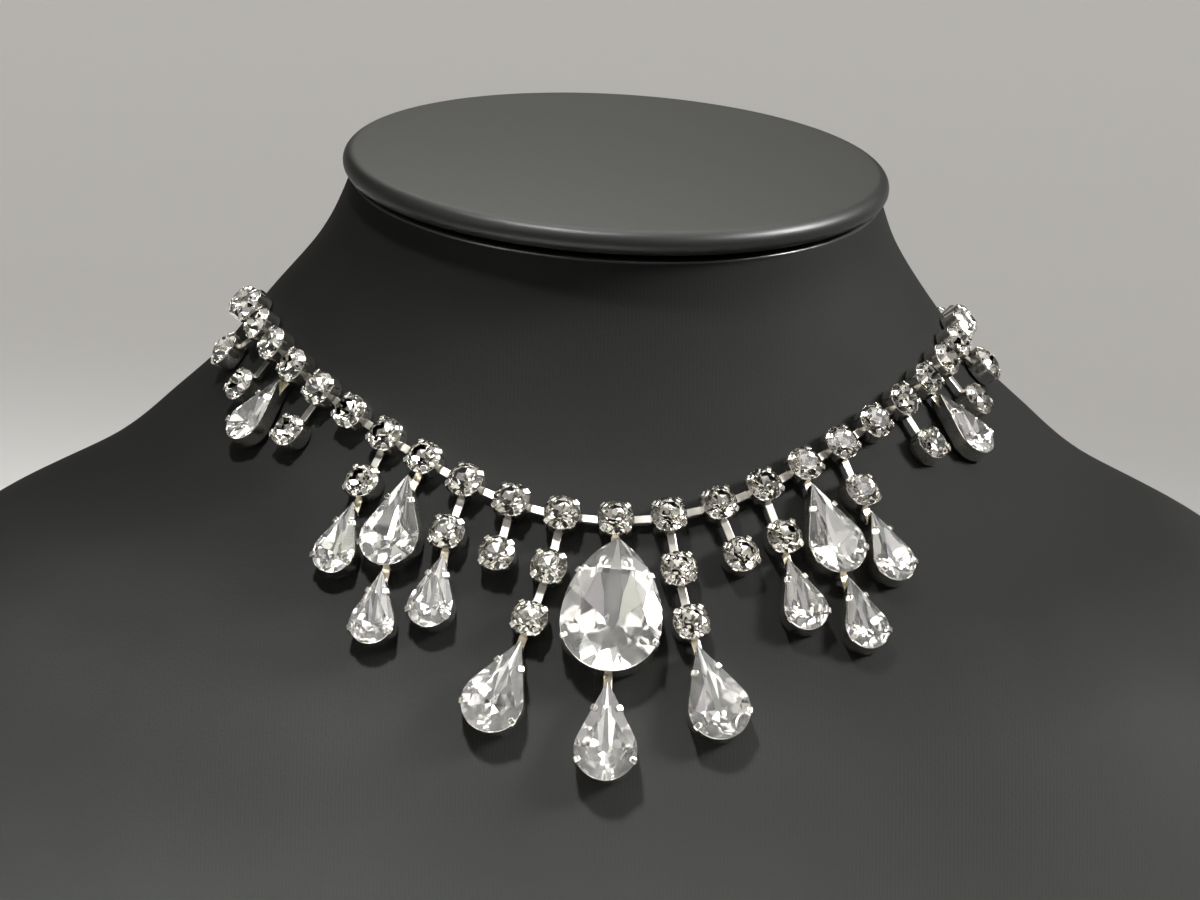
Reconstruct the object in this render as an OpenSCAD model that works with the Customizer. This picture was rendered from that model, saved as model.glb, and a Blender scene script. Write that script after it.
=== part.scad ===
// A rhinestone bib necklace laid round a neck bust with a padded oval cap.
// Millimetres. X runs to the right as seen from the front, Y to the back and Z up.
// The origin is the middle of the bust's outline on the floor.

/* [Bust] */
// Width of the shoulders
bust_w = 336; // [332:1:340]
// Height of the neck's cut top, at the middle of the cap
neck_top_h = 177; // [176:0.5:178]

/* [Cap] */
// Width of the padded cap
cap_w = 111; // [109:0.5:113]
// Depth of the padded cap from front to back
cap_d = 97.5; // [96:0.5:99]
// Thickness of the cap at its round rim
cap_t = 5; // [4.5:0.25:6]
// How far the cap leans to the front, in degrees
cap_lean = 3; // [0:0.5:4]
// How far the cap leans to the right, in degrees
cap_side_lean = 2.25; // [0:0.25:3]

/* [Chain] */
// Height of the chain's lowest line above the floor
chain_h = 130; // [129:0.5:131]
// How much higher the chain lies round the sides of the neck
chain_rise = 19; // [18:0.5:20]
// How steeply the chain falls again behind the sides
chain_fall = 0.38; // [0.36:0.01:0.4]
// Distance from stone to stone along the chain
pitch = 10.3; // [10.2:0.05:10.35]
// How far the middle stone sits to the right of the bust's middle
middle_shift = 3.5; // [2:0.5:4]
// Number of stones on each side of the middle stone
side_stones = 21; // [20:1:21]

/* [Settings] */
// Gap under each setting, above the bust
seat_gap = 0.3; // [0.25:0.05:0.4]
// Thickness of a setting's rim
rim_t = 0.28; // [0.25:0.01:0.3]
// Gap between a stone and the metal round it
stone_gap = 0.14; // [0.12:0.01:0.16]
// Visible link between two round settings
round_gap = 3.8; // [3.6:0.1:4]
// Visible link above a pear setting
pear_gap = 0.9; // [0.8:0.1:1]

/* [Links] */
// Width of a flat link
link_w = 1.6; // [1.4:0.1:1.7]
// Thickness of a flat link
link_t = 0.3; // [0.25:0.05:0.35]

/* [Claws] */
// Width of a claw
claw_w = 0.8; // [0.7:0.05:0.9]
// Thickness of a claw
claw_t = 0.3; // [0.25:0.05:0.3]

/* [Hidden] */

// Sections of the bust from the top down
HEIGHT = 0;
HALF_WIDTH = 1;
FRONT_REACH = 2;
BACK_REACH = 3;
SHIFT = 4;
SECTIONS = [
    // height, half width, reach to the front, reach to the back, shift of the middle to the right
    [186,  51.0,  52.0, 38, 1.8],
    [174,  55.0,  52.2, 39, 1.8],
    [164,  59.6,  54.0, 41, 1.1],
    [152,  68.5,  60.5, 43, 0],
    [140,  78.0,  69.5, 46, 0],
    [130,  88.5,  79.5, 49, 0],
    [118, 103.0,  89.5, 53, 0],
    [104, 129.0, 100.5, 58, 0],
    [ 86, 151.5, 112.0, 64, 0],
    [ 60, 164.0, 122.5, 70, 0],
    [ 30, 168.0, 131.0, 74, 0],
    [  0, 164.0, 131.0, 74, 0]
];
SECTIONS_W = 336;
last_section = len(SECTIONS) - 1;
bust_columns = 72;
bust_rings = 26;

// Kinds of stone, and the size of their settings
ROUND = 0;
SMALL_PEAR = 1;
LARGE_PEAR = 2;
BIG_PEAR = 3;
WIDTH = 0;
LENGTH = 1;
GIRDLE_H = 2;
CROWN = 3;
PAVILION = 4;
SIDE_ANGLE = 5;
KINDS = [
    // width, length, girdle height, crown, pavilion, angle where a pear's side leaves its bulb
    [ 7.0,  7.0, 3.3, 1.3, 2.4,  0],
    [ 8.8, 15.2, 3.4, 1.4, 2.5, 23.5],
    [11.8, 18.9, 3.8, 1.7, 2.9, 26.5],
    [19.2, 26.4, 4.8, 2.4, 3.9,  0]
];

// Drops: station on the chain, then kind, heading of the link and heading of the stone for each
// piece from the top down. A heading is in degrees from the steepest way down, positive to the right.
STATION = 0;
PIECES = 1;
DROPS = [
    [-10, [[ROUND, -34, -34]]],
    [ -9, [[ROUND, -5, -5]]],
    [ -8, [[SMALL_PEAR, -12, -2]]],
    [ -7, [[ROUND, -6, -6]]],
    [ -5, [[ROUND, -1, -1], [SMALL_PEAR, 9, 7]]],
    [ -4, [[LARGE_PEAR, -15, 4], [SMALL_PEAR, 12, 20]]],
    [ -3, [[ROUND, -3, -3], [SMALL_PEAR, 9, 7]]],
    [ -2, [[ROUND, -4, -4]]],
    [ -1, [[ROUND, -8, -8], [ROUND, -11, -11], [LARGE_PEAR, -5, -14]]],
    [  0, [[BIG_PEAR, 6, -6], [LARGE_PEAR, -4, -2]]],
    [  1, [[ROUND, 3, 3], [ROUND, 2, 2], [LARGE_PEAR, -2, 7]]],
    [  2, [[ROUND, 10, 10]]],
    [  3, [[ROUND, 3, 3], [SMALL_PEAR, -12, -5]]],
    [  4, [[LARGE_PEAR, -11, 1], [SMALL_PEAR, -7, -15]]],
    [  5, [[ROUND, -4, -4], [SMALL_PEAR, -8, -5]]],
    [  7, [[ROUND, 0, 0]]],
    [  8, [[SMALL_PEAR, 5, 4]]],
    [  9, [[ROUND, 3, 3]]],
    [ 10, [[ROUND, 38, 38]]]
];

// Inside of a setting
floor_t = 0.5;
ledge_t = 0.75;
ledge_drop = 0.5;
rim_above_girdle = 0.3;
bulb_steps = 24;
side_steps = 8;

// Links and the slots they pass through
link_h = 1.3;
slot_gap = 0.15;
tab_h = 0.8;
tab_inset = 1.6;
pear_aim_inset = 4.8;
pear_tab_reach = 0.3;

// Cut stones: how far out the corners of the table, the crown and the pavilion lie
table_share = 0.56;
crown_share = 0.8;
pavilion_share = 0.45;
half_step = cos(22.5);

// Claws
claw_foot_h = 0.8;
claw_above_rim = 0.1;
claw_hook_l = 0.55;
claw_back_l = 0.7;
claw_lower_angle = -22;
claw_side_share = 0.5;

// Clasp
clasp_w = 5.4;
clasp_t = 3.2;
clasp_wall = 0.75;
clasp_pocket_l = 2;
clasp_pocket_w = 2.6;
clasp_edge_r = 0.8;

// Chain
sight_h = 4.3;
rise_depth = 77;
rise_power = 2.1;
fall_start = -8;
fall_later = 0.04;
fall_soft = 8;
chain_side_slope = -0.02;
path_step = 3;
stone_turn = 137.5;

// Cap
cap_x = 2.4;
cap_y = -6;
cap_boss_h = 1.1;
cap_boss_share = 0.8;
cap_boss_gap = 0.1;
cap_crown_h = 1.4;
cap_columns = 60;
cap_rim_steps = 7;

metal_colour = "silver";
stone_colour = "white";
bust_colour = "#3a3a3a";
cap_colour = "#4a4a48";

function unit(v) = v / norm(v);

// The bust's skin: an angle t round the neck from the front, and a place u down the sections
function blend(a, b, c, d, w) =
    0.5 * (2 * b + (c - a) * w + (2 * a - 5 * b + 4 * c - d) * w * w
    + (3 * b - a - 3 * c + d) * w * w * w);
function section_row(i) = SECTIONS[max(0, min(last_section, i))];
function section(u) =
    let (i = min(floor(u), last_section - 1))
    blend(section_row(i - 1), section_row(i), section_row(i + 1), section_row(i + 2), u - i);
ring_u = [for (j = [0:bust_rings]) last_section * j / bust_rings];
neck_y = (max([for (u = ring_u) section(u)[FRONT_REACH]])
    - max([for (u = ring_u) section(u)[BACK_REACH]])) / 2;
function skin(t, u) =
    let (s = section(u), reach = cos(t) > 0 ? s[FRONT_REACH] : s[BACK_REACH])
    [s[HALF_WIDTH] * bust_w / SECTIONS_W * sin(t) + s[SHIFT], neck_y - reach * cos(t), s[HEIGHT]];
function skin_round(t, u) = (skin(t + 0.05, u) - skin(t - 0.05, u)) / 0.1;
function skin_down(t, u) = (skin(t, u + 0.001) - skin(t, u - 0.001)) / 0.002;
function outward(t, u) = unit(cross(skin_down(t, u), skin_round(t, u)));

// Place down the sections at angle t where the skin falls through a surface z = level(point)
function crossing(t, level, top = 0, low = 8, n = 24) =
    let (u = (top + low) / 2, p = skin(t, u))
    n == 0 ? u
    : p.z > level(p) ? crossing(t, level, u, low, n - 1)
    : crossing(t, level, top, u, n - 1);

// The tilted plane of the neck's cut top
cap_normal = [
    sin(cap_side_lean) * cos(cap_lean),
    -sin(cap_lean),
    cos(cap_side_lean) * cos(cap_lean)
];
cap_centre_y = neck_y + cap_y;
neck_top = function (p)
    neck_top_h - (cap_normal.x * (p.x - cap_x) + cap_normal.y * (p.y - cap_centre_y)) / cap_normal.z;

// The chain's line round the neck: it rises to the sides and falls behind them
chain_level = function (p)
    let (back = min(1, (p.y - neck_y + SECTIONS[5][FRONT_REACH]) / rise_depth))
    let (behind = max(0, p.y - neck_y - fall_start - fall_later * p.x))
    chain_h + chain_rise * (1 - pow(abs(1 - back), rise_power)) + chain_side_slope * p.x
        - chain_fall * behind * behind / (behind + fall_soft);
path_t = [for (t = [-180:path_step:180]) t];
path_u = [for (t = path_t) crossing(t, chain_level)];
path_p = [for (i = [0:len(path_t) - 1])
    skin(path_t[i], path_u[i]) + sight_h * outward(path_t[i], path_u[i])];
path_s = [for (i = 0, s = 0; i < len(path_p);
    s = s + (i + 1 < len(path_p) ? norm(path_p[i + 1] - path_p[i]) : 0), i = i + 1) s];
loop_l = path_s[len(path_s) - 1];
front_s = path_s[(len(path_s) - 1) / 2] + middle_shift;
s_to_t = [for (i = [0:len(path_s) - 1]) [path_s[i], path_t[i]]];
s_to_u = [for (i = [0:len(path_s) - 1]) [path_s[i], path_u[i]]];
function on_path(s) =
    let (w = s > loop_l ? s - loop_l : s)
    [lookup(w, s_to_t), lookup(w, s_to_u)];

// A frame on the skin: its Y axis is near the vector up and its Z axis points outward
function frame(place, up, h) =
    let (n = outward(place[0], place[1]))
    let (y = unit(up - n * (n * up)), x = cross(y, n), p = skin(place[0], place[1]) + n * h)
    [[x.x, y.x, n.x, p.x], [x.y, y.y, n.y, p.y], [x.z, y.z, n.z, p.z], [0, 0, 0, 1]];
function point_in(m, p) = [for (i = [0:2]) m[i][0] * p.x + m[i][1] * p.y + m[i][2] * p.z + m[i][3]];
function axis_z(m) = [m[0][2], m[1][2], m[2][2]];

function chain_frame(s) =
    let (a = on_path(s - 1), b = on_path(s + 1), c = on_path(s))
    frame(c, cross(outward(c[0], c[1]), skin(b[0], b[1]) - skin(a[0], a[1])), seat_gap);
station_s = function (k) front_s + k * pitch;
stations = [for (k = [-side_stones:side_stones]) chain_frame(station_s(k))];
function station_frame(k) = stations[k + side_stones];

// A walk over the skin, in short straight steps, at a heading from the steepest way down
function heading_vector(place, heading) =
    let (n = outward(place[0], place[1]), down = unit(skin_down(place[0], place[1])))
    cos(heading) * down + sin(heading) * cross(n, down);
function step_over(place, d) =
    let (a = skin_round(place[0], place[1]), b = skin_down(place[0], place[1]))
    let (aa = a * a, ab = a * b, bb = b * b, ad = a * d, bd = b * d, k = aa * bb - ab * ab)
    place + [(ad * bb - bd * ab) / k, (bd * aa - ad * ab) / k];
function walk(place, heading, l, n = 6) =
    n == 0 ? place
    : walk(step_over(place, heading_vector(place, heading) * l / n), heading, l * (n - 1) / n, n - 1);

// The pear outline: a bulb, and two arcs that leave it smoothly and meet in a tip
function bulb_r(kind) = KINDS[kind][WIDTH] / 2;
function top_reach(kind) = KINDS[kind][LENGTH] - bulb_r(kind);
function side_r(r, tip, a) = (tip * tip + r * r - 2 * tip * r * sin(a)) / (2 * r - 2 * tip * sin(a));
function side_centre(r, tip, a) = -(side_r(r, tip, a) - r) * [cos(a), sin(a)];
function tip_angle(r, tip, a) = let (c = side_centre(r, tip, a)) atan2(tip - c.y, -c.x);
function pear(r, tip, a) =
    let (c = side_centre(r, tip, a), s = side_r(r, tip, a), b = tip_angle(r, tip, a))
    let (side = [for (i = [1:side_steps - 1]) let (g = a + (b - a) * i / side_steps)
        c + s * [cos(g), sin(g)]])
    concat(
        [for (i = [0:bulb_steps]) let (g = 180 - a + (180 + 2 * a) * i / bulb_steps)
            r * [cos(g), sin(g)]],
        side,
        [[0, tip]],
        [for (i = [len(side) - 1:-1:0]) [-side[i].x, side[i].y]]
    );
function inset_tip(kind, w) =
    top_reach(kind) - w / sin(tip_angle(bulb_r(kind), top_reach(kind), KINDS[kind][SIDE_ANGLE]));
function pear_inset(kind, w) = pear(bulb_r(kind) - w, inset_tip(kind, w), KINDS[kind][SIDE_ANGLE]);

// Distance from a stone's middle to its girdle, in the direction g
function girdle_r(kind, g) =
    let (w = rim_t + stone_gap, r = bulb_r(kind) - w, a = KINDS[kind][SIDE_ANGLE])
    kind == ROUND || sin(g) <= sin(a) ? r
    : let (tip = inset_tip(kind, w), s = side_r(r, tip, a), c = side_centre(r, tip, a))
    let (v = c.x * abs(cos(g)) + c.y * sin(g))
    v + sqrt(max(0, v * v - c * c + s * s));

// Height of the bust's skin over the plane of a setting's back, at its four ends
function skin_rise(kind, place, heading) =
    let (n = outward(place[0], place[1]), r = bulb_r(kind))
    max([for (end = [[0, r], [90, r], [-90, r], [180, top_reach(kind)]])
        let (p = walk(place, heading + end[0], end[1]))
        n * (skin(p[0], p[1]) - skin(place[0], place[1]))]);

// Each drop as a list of pieces: kind and frame
function drop_pieces(place, above_r, pieces, i = 0) =
    i == len(pieces) ? []
    : let (kind = pieces[i][0], gap = kind == ROUND ? round_gap : pear_gap)
    let (top = walk(place, pieces[i][1], above_r + gap))
    let (middle = walk(top, pieces[i][2], top_reach(kind)))
    let (up = skin(top[0], top[1]) - skin(middle[0], middle[1]))
    let (h = seat_gap + max(0, skin_rise(kind, middle, pieces[i][2])))
    concat([[kind, frame(middle, up, h)]], drop_pieces(middle, bulb_r(kind), pieces, i + 1));
drops = [for (d = DROPS)
    [d[STATION], drop_pieces(on_path(station_s(d[STATION])), bulb_r(ROUND), d[PIECES])]];

// Links: the points that a link runs between inside two settings, how far short of each its tab
// stands, and the way it faces
function aim_below(m) = point_in(m, [0, 0, link_h]);
function aim_above(kind, m) =
    point_in(m, [0, kind == ROUND ? 0 : top_reach(kind) - pear_aim_inset, link_h]);
function tab_below(kind) = bulb_r(kind) - tab_inset;
function tab_above(kind) = kind == ROUND ? tab_below(kind) : pear_tab_reach;
function link(a, b, short_a, short_b, face) = [a, b, short_a, short_b, face];
function drop_links(d) =
    [for (i = [0:len(d[PIECES]) - 1])
        let (above = i == 0 ? [ROUND, station_frame(d[STATION])] : d[PIECES][i - 1])
        let (below = d[PIECES][i])
        link(aim_below(above[1]), aim_above(below[0], below[1]),
            tab_below(above[0]), tab_above(below[0]), axis_z(above[1]) + axis_z(below[1]))];
function station_links(k) = [for (d = drops) if (d[STATION] == k) drop_links(d)[0]];
function chain_link(a, b) =
    link(aim_below(a), aim_below(b), tab_below(ROUND), tab_below(ROUND), axis_z(a) + axis_z(b));
clasp_frame = chain_frame(front_s + loop_l / 2);
clasp_l = loop_l - 2 * side_stones * pitch - 2 * pitch + 2 * bulb_r(ROUND);
clasp_aim = clasp_l / 2 - bulb_r(ROUND);
function clasp_link(side) =
    let (a = station_frame(side * side_stones))
    link(aim_below(a), point_in(clasp_frame, [-side * clasp_aim, 0, link_h]),
        tab_below(ROUND), tab_below(ROUND), axis_z(a) + axis_z(clasp_frame));
chain_links = concat(
    [clasp_link(-1)],
    [for (k = [-side_stones:side_stones - 1]) chain_link(station_frame(k), station_frame(k + 1))],
    [clasp_link(1)]
);

module link_place(l) {
    x = unit(l[1] - l[0]);
    z = unit(l[4] - x * (x * l[4]));
    y = cross(z, x);
    multmatrix([
        [x.x, y.x, z.x, l[0].x], [x.y, y.y, z.y, l[0].y], [x.z, y.z, z.z, l[0].z], [0, 0, 0, 1]
    ])
        children();
}

// A flat link with a tab turned up at each end
module flat_link(l) {
    start = l[2];
    end = norm(l[1] - l[0]) - l[3];
    link_place(l) {
        translate([start, -link_w / 2, -link_t / 2]) cube([end - start, link_w, link_t]);
        for (x = [start, end - link_t])
            translate([x, -link_w / 2, -link_t / 2]) cube([link_t, link_w, tab_h]);
    }
}

// The slots that a link needs in the two settings that it joins
module link_slot(l) {
    start = l[2];
    end = norm(l[1] - l[0]) - l[3];
    link_place(l)
        translate([start, -link_w / 2 - slot_gap, -link_t / 2 - slot_gap])
            cube([end - start, link_w + 2 * slot_gap, link_t + 2 * slot_gap]);
}

// Height over the girdle of the crown's corners between table and girdle
function crown_corner_h(kind) =
    KINDS[kind][CROWN] * (1 - crown_share * half_step) / (1 - table_share);

// A claw on the outer face of a wall, folded over the stone's crown towards -X, where the stone's
// girdle is girdle_l from the stone's middle, measured square to the wall
module claw(kind, girdle_l) {
    girdle = KINDS[kind][GIRDLE_H];
    slope = atan2(crown_corner_h(kind), (1 - crown_share) * girdle_l);
    foot_l = girdle + rim_above_girdle + claw_above_rim - claw_foot_h;
    translate([-rim_t / 2, -claw_w / 2, claw_foot_h]) cube([rim_t / 2 + claw_t, claw_w, foot_l]);
    translate([-rim_t - stone_gap, 0, girdle]) rotate([0, slope, 0]) translate([0, 0, stone_gap]) {
        translate([-claw_hook_l, -claw_w / 2, 0]) cube([claw_hook_l + claw_back_l, claw_w, claw_t]);
        translate([-claw_hook_l, 0, 0]) cylinder(d = claw_w, h = claw_t, $fn = 24);
    }
}

module round_setting() {
    r = bulb_r(ROUND);
    girdle = KINDS[ROUND][GIRDLE_H];
    difference() {
        cylinder(r = r, h = girdle + rim_above_girdle, $fn = 48);
        translate([0, 0, floor_t]) cylinder(r = r - ledge_t, h = girdle, $fn = 48);
        translate([0, 0, girdle - ledge_drop]) cylinder(r = r - rim_t, h = girdle, $fn = 48);
    }
    for (a = [45:90:315]) rotate([0, 0, a]) translate([r, 0, 0]) claw(ROUND, girdle_r(ROUND, a));
}

module pear_setting(kind) {
    r = bulb_r(kind);
    tip = top_reach(kind);
    side = KINDS[kind][SIDE_ANGLE];
    girdle = KINDS[kind][GIRDLE_H];
    centre = side_centre(r, tip, side);
    arc = side_r(r, tip, side);
    upper = side + (tip_angle(r, tip, side) - side) * claw_side_share;
    upper_l = arc + centre * [cos(upper), sin(upper)] - rim_t - stone_gap;
    difference() {
        linear_extrude(girdle + rim_above_girdle) polygon(pear_inset(kind, 0));
        translate([0, 0, floor_t]) linear_extrude(girdle) polygon(pear_inset(kind, ledge_t));
        translate([0, 0, girdle - ledge_drop]) linear_extrude(girdle) polygon(pear_inset(kind, rim_t));
    }
    for (side_x = [0, 1]) mirror([side_x, 0, 0]) {
        rotate([0, 0, claw_lower_angle])
            translate([r, 0, 0]) claw(kind, girdle_r(kind, claw_lower_angle));
        translate([centre.x, centre.y, 0]) rotate([0, 0, upper])
            translate([arc, 0, 0]) claw(kind, upper_l);
    }
}

// A cut stone on its girdle: an octagon table, 8 star, 8 main and 16 girdle facets above,
// and 8 main and 16 girdle facets below
module cut_stone(kind) {
    crown = KINDS[kind][CROWN];
    pavilion = KINDS[kind][PAVILION];
    low_h = pavilion * (1 - pavilion_share * half_step);
    rim = [for (i = [0:15]) let (g = 90 + i * 22.5) girdle_r(kind, g) * [cos(g), sin(g)]];
    points = concat(
        [for (p = rim) [p.x, p.y, 0]],
        [for (j = [0:7]) let (p = rim[2 * j] * table_share) [p.x, p.y, crown]],
        [for (j = [0:7]) let (p = rim[2 * j + 1] * crown_share) [p.x, p.y, crown_corner_h(kind)]],
        [for (j = [0:7]) let (p = rim[2 * j + 1] * pavilion_share) [p.x, p.y, -low_h]],
        [[0, 0, -pavilion]]
    );
    table = 16;
    mid = 24;
    low = 32;
    culet = 40;
    faces = concat(
        [[for (j = [7:-1:0]) table + j]],
        [for (j = [0:7]) [table + j, table + (j + 1) % 8, mid + j]],
        [for (j = [0:7]) [table + j, mid + j, 2 * j]],
        [for (j = [0:7]) [table + (j + 1) % 8, (2 * j + 2) % 16, mid + j]],
        [for (j = [0:7]) [mid + j, 2 * j + 1, 2 * j]],
        [for (j = [0:7]) [mid + j, (2 * j + 2) % 16, 2 * j + 1]],
        [for (j = [0:7]) [low + j, 2 * j, 2 * j + 1]],
        [for (j = [0:7]) [low + j, 2 * j + 1, (2 * j + 2) % 16]],
        [for (j = [0:7]) [culet, 2 * j, low + j]],
        [for (j = [0:7]) [culet, low + j, (2 * j + 2) % 16]]
    );
    polyhedron(points = points, faces = faces);
}

module setting_at(kind, m, slots) {
    difference() {
        multmatrix(m)
            if (kind == ROUND) round_setting();
            else pear_setting(kind);
        for (l = slots) link_slot(l);
    }
}

module stone_at(kind, m, turn) {
    multmatrix(m)
        translate([0, 0, KINDS[kind][GIRDLE_H]]) rotate([0, 0, turn]) cut_stone(kind);
}

module chain_settings() {
    color(metal_colour) {
        for (i = [0:2 * side_stones])
            setting_at(ROUND, stations[i],
                concat([chain_links[i], chain_links[i + 1]], station_links(i - side_stones)));
        for (l = chain_links) flat_link(l);
    }
}

module chain_stones() {
    color(stone_colour)
        for (i = [0:2 * side_stones]) stone_at(ROUND, stations[i], stone_turn * i);
}

module clasp() {
    color(metal_colour) difference() {
        multmatrix(clasp_frame) difference() {
            translate([-clasp_l / 2, 0, 0]) rotate([90, 0, 90]) linear_extrude(clasp_l) hull() {
                for (y = [-1, 1]) translate([y * (clasp_w / 2 - clasp_edge_r), clasp_t - clasp_edge_r])
                    circle(r = clasp_edge_r, $fn = 24);
                translate([-clasp_w / 2, 0]) square([clasp_w, clasp_edge_r]);
            }
            for (side = [-1, 1])
                translate([side * (clasp_l / 2 - clasp_wall - clasp_pocket_l / 2), 0,
                        clasp_t / 2])
                    cube([clasp_pocket_l, clasp_pocket_w, clasp_t - 2 * floor_t], center = true);
        }
        link_slot(clasp_link(-1));
        link_slot(clasp_link(1));
    }
}

// All that is metal in the drops on one side, apart from the pear settings
module drops_settings(side) {
    color(metal_colour) for (d = drops) if (d[STATION] * side > 0) {
        links = drop_links(d);
        for (i = [0:len(links) - 1]) {
            if (d[PIECES][i][0] == ROUND)
                setting_at(ROUND, d[PIECES][i][1],
                    [for (j = [i, i + 1]) if (j < len(links)) links[j]]);
            flat_link(links[i]);
        }
    }
}

module drops_stones(side) {
    color(stone_colour) for (d = drops) if (d[STATION] * side > 0)
        for (i = [0:len(d[PIECES]) - 1])
            if (d[PIECES][i][0] == ROUND)
                stone_at(ROUND, d[PIECES][i][1], stone_turn * (d[STATION] + i));
}

module centre_links() {
    color(metal_colour) for (d = drops) if (d[STATION] == 0) for (l = drop_links(d)) flat_link(l);
}

// The pear setting, or its stone, that is piece i of the drop at a station
module pear_piece(station, i, part) {
    for (d = drops) if (d[STATION] == station) {
        links = drop_links(d);
        piece = d[PIECES][i];
        if (part == "setting")
            color(metal_colour)
                setting_at(piece[0], piece[1], [for (j = [i, i + 1]) if (j < len(links)) links[j]]);
        else color(stone_colour) stone_at(piece[0], piece[1], 0);
    }
}

// A closed solid through rings of points from the top down
module loft(rings) {
    n = len(rings[0]);
    polyhedron(
        points = [for (r = rings, p = r) p],
        faces = concat(
            [[for (i = [n - 1:-1:0]) i]],
            [for (j = [0:len(rings) - 2], i = [0:n - 1])
                [j * n + i, j * n + (i + 1) % n, (j + 1) * n + (i + 1) % n, (j + 1) * n + i]],
            [[for (i = [0:n - 1]) (len(rings) - 1) * n + i]]
        ),
        convexity = 4
    );
}

module bust_body() {
    angles = [for (i = [0:bust_columns - 1]) 360 * i / bust_columns];
    tops = [for (t = angles) crossing(t, neck_top)];
    color(bust_colour) loft([for (j = [0:bust_rings]) [for (i = [0:bust_columns - 1])
        skin(angles[i], tops[i] + (last_section - tops[i]) * j / bust_rings)]]);
}

module bust_cap() {
    // Each ring: share of the flat top's size, growth past it, height above the underside
    flat_w = cap_w - cap_t;
    flat_d = cap_d - cap_t;
    rows = concat(
        [for (s = [0.25, 0.6]) [s, 0, cap_t + cap_crown_h * (1 - s * s)]],
        [for (i = [0:cap_rim_steps]) let (a = 90 - 180 * i / cap_rim_steps)
            [1, cap_t * cos(a), cap_t / 2 * (1 + sin(a))]],
        [for (z = [0, -cap_boss_h]) [cap_boss_share, 0, z]]
    );
    color(cap_colour)
        translate([cap_x, cap_centre_y, neck_top_h])
            rotate([cap_lean, cap_side_lean, 0])
                translate([0, 0, cap_boss_h + cap_boss_gap])
                    loft([for (r = rows) [for (i = [0:cap_columns - 1])
                        let (a = 360 * i / cap_columns)
                        [(flat_w * r[0] + r[1]) / 2 * cos(a), (flat_d * r[0] + r[1]) / 2 * sin(a), r[2]]]]);
}

bust_body();
bust_cap();
chain_settings();
chain_stones();
clasp();
drops_settings(-1);  // drops_left_settings
drops_stones(-1);  // drops_left_stones
drops_settings(1);  // drops_right_settings
drops_stones(1);  // drops_right_stones
centre_links();
pear_piece(0, 0, "setting");  // setting_centre_big
pear_piece(0, 0, "stone");  // stone_centre_big
pear_piece(0, 1, "setting");  // setting_centre_tail
pear_piece(0, 1, "stone");  // stone_centre_tail
pear_piece(-1, 2, "setting");  // setting_left_1
pear_piece(-1, 2, "stone");  // stone_left_1
pear_piece(1, 2, "setting");  // setting_right_1
pear_piece(1, 2, "stone");  // stone_right_1
pear_piece(-3, 1, "setting");  // setting_left_3
pear_piece(-3, 1, "stone");  // stone_left_3
pear_piece(3, 1, "setting");  // setting_right_3
pear_piece(3, 1, "stone");  // stone_right_3
pear_piece(-4, 0, "setting");  // setting_left_4_upper
pear_piece(-4, 0, "stone");  // stone_left_4_upper
pear_piece(4, 0, "setting");  // setting_right_4_upper
pear_piece(4, 0, "stone");  // stone_right_4_upper
pear_piece(-4, 1, "setting");  // setting_left_4_lower
pear_piece(-4, 1, "stone");  // stone_left_4_lower
pear_piece(4, 1, "setting");  // setting_right_4_lower
pear_piece(4, 1, "stone");  // stone_right_4_lower
pear_piece(-5, 1, "setting");  // setting_left_5
pear_piece(-5, 1, "stone");  // stone_left_5
pear_piece(5, 1, "setting");  // setting_right_5
pear_piece(5, 1, "stone");  // stone_right_5
pear_piece(-8, 0, "setting");  // setting_left_8
pear_piece(-8, 0, "stone");  // stone_left_8
pear_piece(8, 0, "setting");  // setting_right_8
pear_piece(8, 0, "stone");  // stone_right_8
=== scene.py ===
import math
from collections import namedtuple

import bmesh
import bpy
from mathutils import Matrix, Vector


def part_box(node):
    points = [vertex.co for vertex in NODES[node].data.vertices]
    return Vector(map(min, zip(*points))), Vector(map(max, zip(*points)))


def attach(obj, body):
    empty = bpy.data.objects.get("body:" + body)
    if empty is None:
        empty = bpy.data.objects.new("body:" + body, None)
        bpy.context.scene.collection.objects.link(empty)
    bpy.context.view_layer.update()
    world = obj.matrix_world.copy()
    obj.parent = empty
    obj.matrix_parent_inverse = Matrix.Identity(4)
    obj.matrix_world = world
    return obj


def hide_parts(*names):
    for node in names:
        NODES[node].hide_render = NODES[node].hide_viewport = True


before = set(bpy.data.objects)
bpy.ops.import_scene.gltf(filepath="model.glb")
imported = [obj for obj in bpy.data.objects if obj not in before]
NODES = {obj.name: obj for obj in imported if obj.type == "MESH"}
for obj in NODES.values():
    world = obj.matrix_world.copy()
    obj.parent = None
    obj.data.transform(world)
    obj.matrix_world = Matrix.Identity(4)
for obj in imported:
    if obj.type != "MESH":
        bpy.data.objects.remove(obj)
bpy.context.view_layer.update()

MM = 0.001

# The sections of the bust from the top down, in millimetres
HEIGHT, HALF_WIDTH, FRONT_REACH, BACK_REACH, SHIFT = range(5)
SECTIONS = [
    # height, half width, reach to the front, reach to the back, shift of the middle to the right
    (186, 51.0, 52.0, 38, 1.8),
    (174, 55.0, 52.2, 39, 1.8),
    (164, 59.6, 54.0, 41, 1.1),
    (152, 68.5, 60.5, 43, 0),
    (140, 78.0, 69.5, 46, 0),
    (130, 88.5, 79.5, 49, 0),
    (118, 103.0, 89.5, 53, 0),
    (104, 129.0, 100.5, 58, 0),
    (86, 151.5, 112.0, 64, 0),
    (60, 164.0, 122.5, 70, 0),
    (30, 168.0, 131.0, 74, 0),
    (0, 164.0, 131.0, 74, 0),
]
LAST_SECTION = len(SECTIONS) - 1
NECK_TOP_H = 177
CAP_LEAN = math.radians(3)
CAP_SIDE_LEAN = math.radians(2.25)
CAP_W = 111
CAP_D = 97.5
CAP_T = 5
CAP_X = 2.4
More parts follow.
